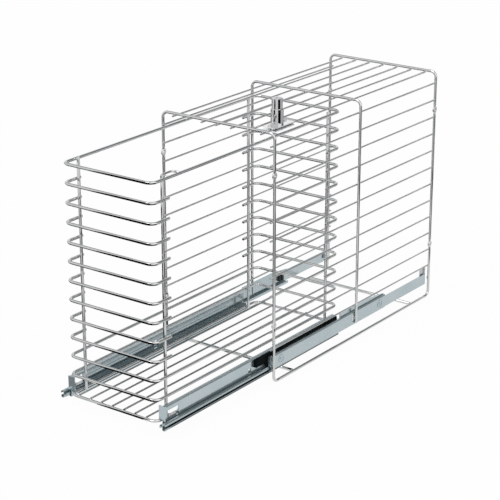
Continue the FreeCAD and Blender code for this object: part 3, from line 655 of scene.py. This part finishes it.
# Eye for the lock's bolt
# A small U of 3.5 mm chromed wire, butt-welded inside the right top rail. With the basket pushed
# home it lies under the lock, and the bolt drops through it.
LOCK_EYE_RADIUS = 1.75
LOCK_EYE_BEND = 6.0
LOCK_EYE_Y = -217.4
LOCK_EYE_HALF = 14.25
LOCK_EYE_INNER = 70.2
LOCK_EYE_OUTER = 84.45
mesh = bmesh.new()
draw_wire(mesh, [(LOCK_EYE_OUTER, LOCK_EYE_Y - LOCK_EYE_HALF, BASKET_TOP),
                 (LOCK_EYE_INNER, LOCK_EYE_Y - LOCK_EYE_HALF, BASKET_TOP),
                 (LOCK_EYE_INNER, LOCK_EYE_Y + LOCK_EYE_HALF, BASKET_TOP),
                 (LOCK_EYE_OUTER, LOCK_EYE_Y + LOCK_EYE_HALF, BASKET_TOP)],
          LOCK_EYE_RADIUS, LOCK_EYE_BEND)
eye = made("basket_lock_eye_wire", mesh, chrome)
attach(eye, "basket")
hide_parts("basket_lock_eye")

# Welds of the basket
# The same plated nuggets as on the cage: at every crossing of an upright, under the floor wires
# where they lie on the bottom frame, and at both ends of the lock's eye.
CROSSING_WELD = (0.9, 2.0, 2.0)
FLOOR_WELD = (1.5, 1.9, 0.8)
EYE_WELD = (1.0, 2.1, 2.1)
mesh = bmesh.new()
for side in (-1.0, 1.0):
    contact = side * (BASKET_HALF - FRAME_RADIUS)
    for y in UPRIGHT_YS:
        for z in WIRE_LEVELS:
            draw_weld(mesh, (contact, y, z), CROSSING_WELD)
for y in (BASKET_FRONT, BASKET_REAR):
    for x in FLOOR_WIRE_XS:
        draw_weld(mesh, (x, y, BASKET_FLOOR + FRAME_RADIUS), FLOOR_WELD)
for half in (-LOCK_EYE_HALF, LOCK_EYE_HALF):
    draw_weld(mesh, (LOCK_EYE_OUTER, LOCK_EYE_Y + half, BASKET_TOP), EYE_WELD)
welds = made("basket_welds", mesh, chrome)
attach(welds, "basket")

# Cabinet rails
# The fixed members, roll-formed from 1.5 mm steel strip, zinc plated and passivated bluish white.
# They are welded to the legs of the cage, with plain pressed rings in the web.
zinc = finish("zinc_rail_finish", ((0.405, 0.485, 0.515), (0.475, 0.54, 0.565)), (0.13, 0.23),
              metallic=0.82, cloud=9.0, grain=420.0, stretch=(1.0, 0.05, 1.0), grain_depth=0.05)


def refinish(node, material):
    """Puts a finish on a piece whose shape the frame brings."""
    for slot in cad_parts[node].material_slots:
        slot.material = material


for hand in ("left_", "right_"):
    refinish(hand + "cabinet_rail", zinc)

# Rear brackets
# Small folded tabs of zinc-plated steel strip, spot-welded to the tails of the cabinet rails and
# hooked behind the rear legs of the cage.
zinc_fixing = finish("zinc_fixing_finish", ((0.50, 0.53, 0.55), (0.60, 0.61, 0.62)), (0.22, 0.34),
                     cloud=60.0, grain=900.0, grain_depth=0.04)
for hand in ("left_", "right_"):
    refinish(hand + "rear_bracket", zinc_fixing)

# Rail buffers
# Moulded black rubber pads with a groove down the middle, pushed into the webs of the cabinet
# rails behind the rear ring marks, where they stop the middle rails softly.
rubber = finish("rubber_finish", ((0.014, 0.019, 0.020), (0.024, 0.029, 0.030)), (0.55, 0.75),
                metallic=0.0, cloud=120.0, grain=2600.0, grain_depth=0.15, shine=0.25)
for hand in ("left_", "right_"):
    refinish(hand + "rail_buffer", rubber)

# Middle rails
# The members between: roll-formed channel with a tee for the inner balls. They are zinc plated
# like the rest, in a darker tone. Along their lower edge a near-black band is painted shade, for
# the shadow in the gap under them. It stops short of the front ends.
PAINTED_SHADE_COLOUR = (0.026, 0.034, 0.037, 1.0)
# In metres: the heights over which the painted shade fades out upward, and the places between
# which it stops towards the front.
SHADE_BAND_HEIGHTS = (0.0195, 0.0220)
SHADE_BAND_FRONT_STOP = (-0.364, -0.378)
zinc_with_painted_shade = finish("greased_zinc_finish", ((0.345, 0.42, 0.44), (0.425, 0.485, 0.505)), (0.13, 0.23),
                      metallic=0.82, cloud=14.0, grain=420.0, stretch=(1.0, 0.05, 1.0), grain_depth=0.05)
nodes, links = zinc_with_painted_shade.node_tree.nodes, zinc_with_painted_shade.node_tree.links
shader = nodes["Principled BSDF"]
unshaded_colour = shader.inputs["Base Color"].links[0].from_socket
place = nodes.new("ShaderNodeTexCoord")
axes = nodes.new("ShaderNodeSeparateXYZ")
shade_band = nodes.new("ShaderNodeMapRange")
shade_band.inputs["From Min"].default_value = SHADE_BAND_HEIGHTS[0]
shade_band.inputs["From Max"].default_value = SHADE_BAND_HEIGHTS[1]
shade_band_front_cut = nodes.new("ShaderNodeMapRange")
shade_band_front_cut.inputs["From Min"].default_value = SHADE_BAND_FRONT_STOP[0]
shade_band_front_cut.inputs["From Max"].default_value = SHADE_BAND_FRONT_STOP[1]
either = nodes.new("ShaderNodeMath")
either.operation = "MAXIMUM"
# Painted shade: the rail's colour turns near-black towards its lower edge, but not at the front ends.
painted_shade_mix = nodes.new("ShaderNodeMix")
painted_shade_mix.data_type = "RGBA"
painted_shade_mix.inputs["A"].default_value = PAINTED_SHADE_COLOUR
links.new(place.outputs["Object"], axes.inputs["Vector"])
links.new(axes.outputs["Z"], shade_band.inputs["Value"])
links.new(axes.outputs["Y"], shade_band_front_cut.inputs["Value"])
links.new(shade_band.outputs["Result"], either.inputs[0])
links.new(shade_band_front_cut.outputs["Result"], either.inputs[1])
links.new(either.outputs["Value"], painted_shade_mix.inputs["Factor"])
links.new(unshaded_colour, painted_shade_mix.inputs["B"])
links.new(painted_shade_mix.outputs["Result"], shader.inputs["Base Color"])
for hand in ("left_", "right_"):
    refinish(hand + "middle_rail", zinc_with_painted_shade)

# Ball retainers and balls
# Punched strips of black plastic that space 2.4 mm balls of hardened steel. They lie loose between
# two rails and roll half as far as the rail that runs on them.
plastic = finish("black_plastic_finish", ((0.0032, 0.0050, 0.0055), (0.0075, 0.0105, 0.0112)),
                 (0.50, 0.65), metallic=0.0, cloud=80.0, grain=1800.0, grain_depth=0.08, shine=0.01)
ball_steel = finish("ball_steel_finish", ((0.60, 0.60, 0.61), (0.68, 0.68, 0.68)), (0.05, 0.10),
                    cloud=200.0, grain=2400.0, grain_depth=0.01)
for hand in ("left_", "right_"):
    refinish(hand + "outer_ball_retainer", plastic)
    refinish(hand + "inner_ball_retainer", plastic)
    refinish(hand + "outer_balls", ball_steel)
    refinish(hand + "inner_balls", ball_steel)

# Drawer rails
# The moving members under the basket, roll-formed and zinc plated like the rest. The front ends are
# turned across for the cabinet's front, with a window for its clamp screw.
for hand in ("left_", "right_"):
    refinish(hand + "drawer_rail", zinc)

# Guide strips
# Extruded matt black plastic, clipped to the outside of the drawer rails' webs, so that the basket
# runs quietly between the cabinet rails.
for hand in ("left_", "right_"):
    refinish(hand + "guide_strip", plastic)

# Seat strips
# Folded steel angles, zinc plated like the rails, spot-welded inside the drawer rails. The basket's
# bottom frame drops into them and rests there.
for hand in ("left_", "right_"):
    refinish(hand + "seat_strip", zinc)

# Front clamp screws
# Zinc-plated steel blocks with a slotted screw, fixed behind the windows of the drawer rails. They
# clamp the front panel of the cabinet, which is not part of this object.
for hand in ("left_", "right_"):
    refinish(hand + "front_adjuster", zinc_fixing)

# Lock plates, bushes, screws and nut
# Two stamped steel plates, chrome plated, lie above and below the top wires. Two zinc-plated screws
# draw them together over bushes, and a nut on the neck holds the lock in them.
polished = finish("polished_chrome_finish", ((0.53, 0.54, 0.545), (0.60, 0.60, 0.60)), (0.03, 0.07),
                  cloud=60.0, grain=2000.0, grain_depth=0.01)
satin_chrome = finish("satin_chrome_finish", ((0.74, 0.75, 0.755), (0.81, 0.81, 0.81)), (0.10, 0.17),
                      cloud=60.0, grain=1600.0, grain_depth=0.02)
for node in ("lock_plate", "lock_clamp_plate"):
    refinish(node, satin_chrome)
for node in ("lock_plate_screws", "lock_bushes", "lock_nut"):
    refinish(node, zinc_fixing)

# Lock sleeve, barrel, core and bolt
# Turned from brass bar and chromed. The sleeve stands on a threaded neck that passes through both
# plates. The barrel slides in it, with the bolt fixed under it and the slotted key core in its top.
for node in ("lock_sleeve", "lock_barrel", "lock_core", "lock_bolt"):
    refinish(node, polished)

# Lock spring
# A coil of 1.8 mm spring steel wire with its end turns closed. It stands on the sleeve's floor round
# the bolt, and the barrel's roof squeezes it when the lock is pushed in.
LOCK_X = 78.0
LOCK_Y = 54.0
SPRING_FOOT = 426.0
SPRING_HEAD = 451.8
SPRING_RADIUS = 5.65
SPRING_WIRE = 0.9
SPRING_TURNS = 7
CLOSED_RISE = 1.85
STEPS_A_TURN = 28
WIRE_SIDES = 10
mesh = bmesh.new()
open_rise = (SPRING_HEAD - SPRING_FOOT - 2.0 * SPRING_WIRE - 2.0 * CLOSED_RISE) / (SPRING_TURNS - 2)
coil = []
for step in range(SPRING_TURNS * STEPS_A_TURN + 1):
    turn = step / STEPS_A_TURN
    closed = min(turn, 1.0) + max(turn - (SPRING_TURNS - 1), 0.0)
    height = SPRING_FOOT + SPRING_WIRE + closed * CLOSED_RISE + (turn - closed) * open_rise
    outward = Vector((math.cos(2.0 * math.pi * turn), math.sin(2.0 * math.pi * turn), 0.0))
    middle = Vector((LOCK_X, LOCK_Y, height)) + outward * SPRING_RADIUS
    ring = []
    for k in range(WIRE_SIDES):
        angle = 2.0 * math.pi * k / WIRE_SIDES
        skin = outward * math.cos(angle) + Vector((0.0, 0.0, math.sin(angle)))
        ring.append(mesh.verts.new(at(*(middle + skin * SPRING_WIRE))))
    coil.append(ring)
draw_skin(mesh, coil, False)
spring = made("lock_coil_spring", mesh, zinc_fixing)
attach(spring, "cage")
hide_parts("lock_spring")
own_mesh(spring)
